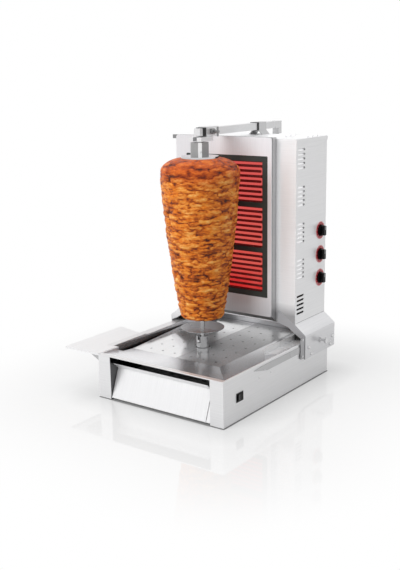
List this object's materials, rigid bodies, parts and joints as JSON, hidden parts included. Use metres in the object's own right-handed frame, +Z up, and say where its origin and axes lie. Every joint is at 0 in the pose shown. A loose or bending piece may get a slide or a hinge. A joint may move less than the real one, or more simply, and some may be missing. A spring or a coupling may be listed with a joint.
{
  "type": "electric doner kebab grill",
  "caption": "Upright doner kebab grill: a stacked meat cone on a turning spit before a sliding tower of glowing heaters, on a steel drip-tray base with a drawer and a side shelf.",
  "frame": {"origin": "middle of the base box's footprint, on the surface that it stands on", "axes": "+X to the right side with the switch, -Y to the front with the drawer, +Z up"},
  "size_m": [0.6225, 0.7205, 0.7934],
  "materials": {
    "stainless_sheet": "brushed stainless sheet",
    "inner_sheet": "plain stainless sheet",
    "machined_steel": "polished machined steel",
    "cast_motor": "dark painted casting",
    "bearing_bronze": "sintered bronze",
    "black_plastic": "black moulded plastic",
    "meat": "roasted stacked meat",
    "dark_seal": "heat-proof fibre seal",
    "ceramic_glass": "dark glass ceramic",
    "insulation": "pressed insulation board",
    "heater_glow": "glowing element",
    "dial_red": "printed dial",
    "regulator_ceramic": "steatite",
    "terminal_white": "moulded terminal",
    "black_nylon": "nylon"
  },
  "bodies": {
    "base": {"base_shell": "stainless_sheet", "bottom_plate": "inner_sheet", "tray_pan": "stainless_sheet", "tray_plate_left": "stainless_sheet", "tray_plate_right": "stainless_sheet", "guide_strips": "stainless_sheet", "rack_ledge_right": "stainless_sheet", "rail_box_left": "stainless_sheet", "base_screws": "machined_steel", "side_shelf": "stainless_sheet", "shelf_brackets": "inner_sheet", "drawer_runners": "inner_sheet", "gear_motor": "cast_motor", "motor_bracket": "inner_sheet", "shaft_bearing": "bearing_bronze", "switch_frame": "black_plastic", "cable_gland": "black_plastic", "arm_bar": "stainless_sheet", "arm_column": "stainless_sheet", "column_bracket": "stainless_sheet"},
    "drawer": {"drawer_front": "stainless_sheet", "drawer_box": "inner_sheet"},
    "switch": {"switch_rocker": "black_plastic"},
    "spit": {"drive_shaft": "machined_steel", "drive_coupling": "machined_steel", "spit_rod": "machined_steel", "bottom_disc": "stainless_sheet", "meat": "meat", "top_disc": "stainless_sheet", "top_hub": "machined_steel", "spit_pins": "machined_steel"},
    "tower": {"tower_shell": "stainless_sheet", "top_cover": "stainless_sheet", "bottom_cover": "inner_sheet", "front_panel": "stainless_sheet", "panel_frame": "stainless_sheet", "glass_seal": "dark_seal", "heater_glass": "ceramic_glass", "heater_tray": "inner_sheet", "insulation_board": "insulation", "heater_1": "heater_glow", "heater_2": "heater_glow", "heater_3": "heater_glow", "dial_plates": "dial_red", "regulators": "regulator_ceramic", "terminal_block": "terminal_white", "top_latch": "black_plastic", "saddle_left": "stainless_sheet", "saddle_right": "stainless_sheet", "slide_shoes": "black_nylon", "saddle_bolts": "machined_steel", "arm_support": "stainless_sheet"},
    "knob_upper": {"knob_1": "black_plastic"},
    "knob_middle": {"knob_2": "black_plastic"},
    "knob_lower": {"knob_3": "black_plastic"},
    "left_lock": {"lock_screw_left": "machined_steel"},
    "right_lock": {"lock_screw_right": "machined_steel"},
    "block": {"bearing_block": "stainless_sheet"},
    "block_lock": {"block_screw": "machined_steel"}
  },
  "joints": [
    {"name": "drawer_slide", "type": "slide", "parent": "base", "child": "drawer", "axis": [0, -1, 0], "range_m": [0, 0.15]},
    {"name": "switch_rock", "type": "hinge", "parent": "base", "child": "switch", "pos_m": [0.2225, -0.214, 0.07], "axis": [0, 0, 1], "range_deg": [0, 10]},
    {"name": "spit_turn", "type": "hinge", "parent": "base", "child": "spit", "pos_m": [-0.04, -0.02, 0.3], "axis": [0, 0, 1], "continuous": true},
    {"name": "tower_slide", "type": "slide", "parent": "base", "child": "tower", "axis": [0, 1, 0], "range_m": [-0.008, 0.07]},
    {"name": "left_lock_turn", "type": "hinge", "parent": "tower", "child": "left_lock", "pos_m": [-0.29, 0.232, 0.123], "axis": [1, 0, 0], "range_deg": [0, 360]},
    {"name": "right_lock_turn", "type": "hinge", "parent": "tower", "child": "right_lock", "pos_m": [0.24, 0.232, 0.123], "axis": [1, 0, 0], "range_deg": [0, 360]},
    {"name": "block_slide", "type": "slide", "parent": "base", "child": "block", "axis": [0, 1, 0], "range_m": [0, 0.06]},
    {"name": "block_lock_turn", "type": "hinge", "parent": "block", "child": "block_lock", "pos_m": [-0.02, 0.021, 0.779], "axis": [1, 0, 0], "range_deg": [0, 360]},
    {"name": "knob_upper_turn", "type": "hinge", "parent": "tower", "child": "knob_upper", "pos_m": [0.195, 0.295, 0.46], "axis": [1, 0, 0], "range_deg": [0, 270]},
    {"name": "knob_middle_turn", "type": "hinge", "parent": "tower", "child": "knob_middle", "pos_m": [0.195, 0.295, 0.384], "axis": [1, 0, 0], "range_deg": [0, 270]},
    {"name": "knob_lower_turn", "type": "hinge", "parent": "tower", "child": "knob_lower", "pos_m": [0.195, 0.295, 0.308], "axis": [1, 0, 0], "range_deg": [0, 270]}
  ]
}
